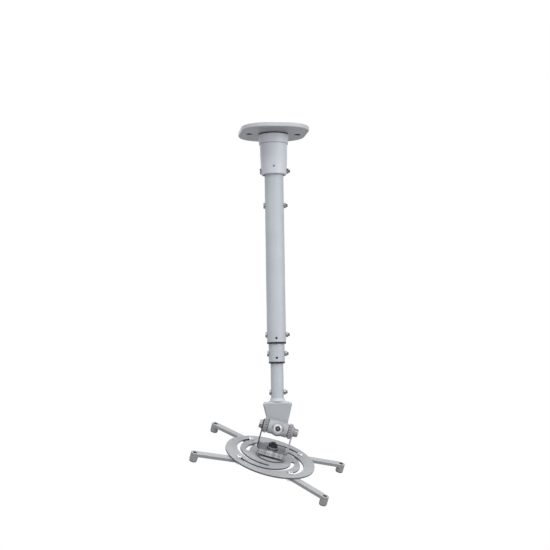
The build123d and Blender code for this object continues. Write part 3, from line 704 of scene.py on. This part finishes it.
def thread(start, axis):
    """A bmesh of a helical ridge round a bolt's end."""
    count = int(THREAD_SHOWS / THREAD_PITCH * THREAD_STEPS)
    place = axis_frame(start, axis)
    mesh = bmesh.new()
    rows = []
    for i in range(count + 1):
        angle = 2 * math.pi * i / THREAD_STEPS
        height = THREAD_PITCH * i / THREAD_STEPS
        row = []
        for lift, out in THREAD_PROFILE:
            r = BOLT_RADIUS + THREAD_RELIEF * out
            spot = Vector((r * math.cos(angle), r * math.sin(angle), height + lift * THREAD_PITCH))
            row.append(mesh.verts.new(place @ spot))
        rows.append(row)
    for here, there in zip(rows, rows[1:]):
        for i in range(len(here)):
            j = (i + 1) % len(here)
            mesh.faces.new((here[i], there[i], there[j], here[j]))
    mesh.faces.new(rows[0])
    mesh.faces.new(tuple(reversed(rows[-1])))
    bmesh.ops.recalc_face_normals(mesh, faces=mesh.faces)
    return mesh


for name, body in THREADED_NUTS.items():
    low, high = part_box(name)
    start = Vector((high[0], (low[1] + high[1]) / 2, (low[2] + high[2]) / 2))
    ridge = thread(start, Vector((1, 0, 0)))
    add_piece(name.replace("nut", "thread"), ridge, body, DARK_ZINC)


# Weld bead where the neck meets the knuckle bracket; its ripples are (size, count, start)

ROUND_STEPS = 96
BEAD_SIDES = 8
BEAD_OUT = 0.0013
BEAD_HIGH = 0.0011
BEAD_SINK = 0.0004
RIPPLES = ((0.00022, 31, 0.0), (0.00012, 13, 1.0))


def ripple(angle, radius):
    """The uneven surface of a weld bead."""
    return sum(size * math.sin(angle * count + start) for size, count, start in RIPPLES)


neck_low, neck_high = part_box("neck_plug")
bead_radius = (neck_high[0] - neck_low[0]) / 2
bead_foot = Vector((0, 0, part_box("knuckle_bracket")[1][2] - BEAD_SINK))
bead = []
for i in range(BEAD_SIDES):
    turn = 2 * math.pi * i / BEAD_SIDES
    bead.append((bead_radius + BEAD_OUT * math.cos(turn), BEAD_HIGH + BEAD_HIGH * math.sin(turn)))
weld = lathe(bead, ROUND_STEPS, axis_frame(bead_foot, sky), ripple)
add_piece("neck_weld", weld, "lower_mast", NECK_PAINTED_LIGHT_COAT)


# Dark ring of painted shadow in the gap between plate and collar, its heights measured down from the ceiling

GAP_SHADOW_INSIDE = 0.0251
GAP_SHADOW_OUTSIDE = 0.0292
GAP_SHADOW_TOP = 0.0086
GAP_SHADOW_FOOT = 0.0109
gap_shadow = [
    (GAP_SHADOW_INSIDE, GAP_SHADOW_TOP),
    (GAP_SHADOW_OUTSIDE, GAP_SHADOW_TOP),
    (GAP_SHADOW_OUTSIDE, GAP_SHADOW_FOOT),
    (GAP_SHADOW_INSIDE, GAP_SHADOW_FOOT),
]
gap_shadow_ring = lathe(gap_shadow, ROUND_STEPS, axis_frame(Vector((0, 0, 0)), down))
add_piece("plate_gap_shadow", gap_shadow_ring, "ceiling_mast", BLACK_NYLON)


# Seal ring in the collar's mouth, its heights measured up from the mouth

SEAL_INSIDE = 0.0192
SEAL_OUTSIDE = 0.0218
SEAL_MIDDLE = 0.0205
SEAL_TOP = 0.0038
SEAL_EDGE = 0.0011
SEAL_FOOT = 0.0007
seal = [
    (SEAL_INSIDE, -SEAL_TOP),
    (SEAL_OUTSIDE, -SEAL_TOP),
    (SEAL_OUTSIDE, -SEAL_EDGE),
    (SEAL_MIDDLE, -SEAL_FOOT),
    (SEAL_INSIDE, -SEAL_EDGE),
]
seal_ring = lathe(seal, ROUND_STEPS, axis_frame(Vector((0, 0, collar_low[2])), down))
add_piece("collar_seal", seal_ring, "ceiling_mast", BLACK_NYLON)


# Plug, a little sunk, in the collar's front hole, with a dark coat as painted shade in the hole

PLUG_RADIUS = 0.0022
PLUG_LONG = 0.002
PLUG_FORWARD = 0.0256
PLUG_UP = 0.015
PLUG_SIDES = 32
plug_middle = Vector((0, PLUG_LONG / 2 - PLUG_FORWARD, collar_low[2] + PLUG_UP))
plug_place = axis_frame(plug_middle, Vector((0, 1, 0)))
plug = bmesh.new()
bmesh.ops.create_cone(plug, cap_ends=True, segments=PLUG_SIDES, radius1=PLUG_RADIUS, radius2=PLUG_RADIUS,
                      depth=PLUG_LONG, matrix=plug_place)
add_piece("collar_plug", plug, "ceiling_mast", PLUG_SHADE_COAT)


# Dark sheet of painted shade in the two countersunk ceiling holes, its heights measured up from the plate's foot

PLATE_TURN = 8.0
HOLE_RADIUS = 0.0035
SINK_RADIUS = 0.007
HOLE_SHADE_THICK = 0.00018
HOLE_SHADE_RIM = 0.0001
HOLE_SHADE_GAP = 0.00001
HOLE_SHADE_LONG = 0.003
HOLE_SHADE_STEP = 0.00005
HOLE_SHADE_SIDES = 48
sink_deep = SINK_RADIUS - HOLE_RADIUS
hole_shade = [
    (SINK_RADIUS - HOLE_SHADE_RIM, HOLE_SHADE_RIM),
    (HOLE_RADIUS - HOLE_SHADE_THICK, sink_deep),
    (HOLE_RADIUS - HOLE_SHADE_THICK, sink_deep + HOLE_SHADE_LONG),
    (HOLE_RADIUS - HOLE_SHADE_GAP, sink_deep + HOLE_SHADE_LONG),
    (HOLE_RADIUS - HOLE_SHADE_GAP, sink_deep + HOLE_SHADE_STEP),
]
bolts = [m for m in frame["record"]["mounts"] if m["name"] == "ceiling_bolts"][0]
hole_spread = bolts["dims"]["pcd_mm"] / 2000
plate_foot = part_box("ceiling_plate")[0][2]
hole_line = Vector((math.cos(math.radians(PLATE_TURN)), math.sin(math.radians(PLATE_TURN)), 0))
for side, label in ((-1, "left"), (1, "right")):
    spot = hole_line * hole_spread * side
    spot.z = plate_foot
    ring = lathe(hole_shade, HOLE_SHADE_SIDES, axis_frame(spot, sky))
    add_piece(f"ceiling_hole_shade_{label}", ring, "ceiling_mast", BLACK_NYLON)


# Floor and world

def white_to_camera(tree, surface):
    """A shader that shows plain white to the camera and in reflections, and the surface to all else."""
    rays = tree.nodes.new("ShaderNodeLightPath").outputs
    mirrored = math_step(tree, "MAXIMUM", rays["Is Glossy Ray"], rays["Is Transmission Ray"])
    seen = math_step(tree, "MAXIMUM", rays["Is Camera Ray"], mirrored)
    kind = "ShaderNodeBackground" if surface.type == "BACKGROUND" else "ShaderNodeEmission"
    white = tree.nodes.new(kind)
    white.inputs["Color"].default_value = (1, 1, 1, 1)
    white.inputs["Strength"].default_value = SEEN_WHITE
    mix = tree.nodes.new("ShaderNodeMixShader")
    tree.links.new(seen, mix.inputs["Fac"])
    tree.links.new(surface.outputs[0], mix.inputs[1])
    tree.links.new(white.outputs[0], mix.inputs[2])
    return mix.outputs[0]


floor_mesh = bmesh.new()
floor_z = cad_low[2] - FLOOR_DROP
corners = [(-1, -1), (1, -1), (1, 1), (-1, 1)]
floor_corners = [floor_mesh.verts.new((x * FLOOR_HALF, y * FLOOR_HALF, floor_z)) for x, y in corners]
floor_mesh.faces.new(floor_corners)
floor_data = bpy.data.meshes.new("floor")
floor_mesh.to_mesh(floor_data)
floor_mesh.free()
floor = bpy.data.objects.new("floor", floor_data)
bpy.context.scene.collection.objects.link(floor)
floor_material, floor_tree, floor_shader = new_material("floor_pale")
floor_shader.inputs["Base Color"].default_value = (*FLOOR_COLOUR, 1)
floor_shader.inputs["Roughness"].default_value = FLOOR_ROUGH
floor_seen = white_to_camera(floor_tree, floor_shader)
floor_tree.links.new(floor_seen, floor_tree.nodes["Material Output"].inputs["Surface"])
floor_data.materials.append(floor_material)
floor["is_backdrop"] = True

world = bpy.data.worlds.new("studio")
bpy.context.scene.world = world
world.use_nodes = True
world_tree = world.node_tree
room = world_tree.nodes["Background"]
room.inputs["Color"].default_value = (*WORLD_COLOUR, 1)
room.inputs["Strength"].default_value = WORLD_LEVEL
world_seen = white_to_camera(world_tree, room)
world_tree.links.new(world_seen, world_tree.nodes["World Output"].inputs["Surface"])


# Lamps and camera

def softbox(name, spot, size, power):
    """A rectangular area lamp aimed at the middle of the mount."""
    lamp = bpy.data.lights.new(name, "AREA")
    lamp.shape = "RECTANGLE"
    lamp.size, lamp.size_y = size
    lamp.energy = power
    made = bpy.data.objects.new(name, lamp)
    bpy.context.scene.collection.objects.link(made)
    made.location = spot
    made.rotation_mode = "QUATERNION"
    made.rotation_quaternion = (LAMP_AIM - Vector(spot)).to_track_quat("-Z", "Y")


softbox("key", spot=(2.1, -1.5, 0.3), size=(2.2, 1.8), power=50.0)
softbox("top", spot=(-0.5, -1.3, 2.1), size=(2.0, 1.8), power=44.0)
softbox("fill", spot=(-1.5, -2.1, -0.1), size=(1.8, 1.8), power=17.0)
softbox("back", spot=(-0.7, 2.4, 0.5), size=(2.0, 1.8), power=20.0)

lens = bpy.data.cameras.new("photo_camera")
lens.sensor_width = SENSOR
lens.lens = FOCAL_PIXELS * SENSOR / IMAGE_SIZE
lens.clip_start = CLIP_NEAR
lens.clip_end = CLIP_FAR
camera = bpy.data.objects.new("photo_camera", lens)
bpy.context.scene.collection.objects.link(camera)
tilt = Matrix.Rotation(math.radians(90 + LOOK_UP), 4, "X")
roll = Matrix.Rotation(math.radians(CAMERA_ROLL), 4, "Z")
camera.matrix_world = Matrix.Translation((EYE_ASIDE, -EYE_DISTANCE, EYE_HEIGHT)) @ tilt @ roll
bpy.context.scene.camera = camera

bpy.context.scene.view_settings.view_transform = "Standard"

low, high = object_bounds()
